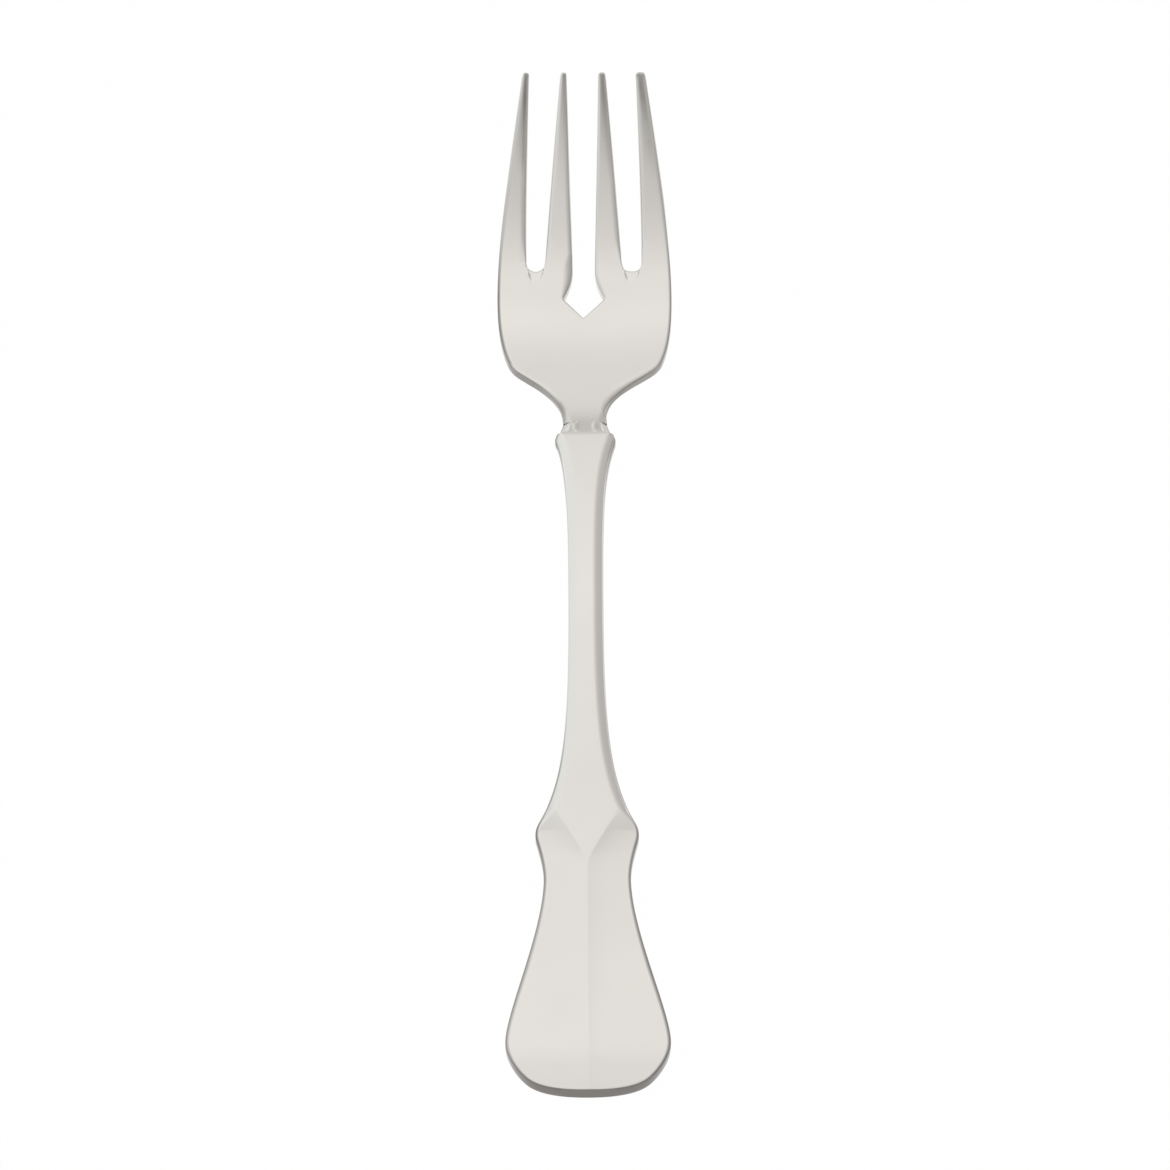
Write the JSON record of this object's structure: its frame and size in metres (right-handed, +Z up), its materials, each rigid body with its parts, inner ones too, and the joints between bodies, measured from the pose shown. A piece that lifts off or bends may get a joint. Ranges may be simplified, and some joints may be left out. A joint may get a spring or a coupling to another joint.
{
  "type": "fish fork",
  "caption": "Silver fish fork with short upturned tines, a diamond notch at the foot of the middle slot, a coved neck, a bevelled stem and a fiddle-shaped handle with a soft ridge.",
  "frame": {"origin": "centre of the bounding box in plan, on the table that the fork lies on", "axes": "+Y from the heel of the handle to the tine tips, +Z up with the tines turned up, +X to the right as seen from the handle"},
  "size_m": [0.0296, 0.1854, 0.0141],
  "materials": {
    "silver": "polished silver, warm white, with fine wear",
    "solder": "plain silver solder, hidden in the joint"
  },
  "bodies": {
    "root": {"handle": "silver", "fork_head": "silver", "solder_film": "solder"}
  },
  "joints": []
}
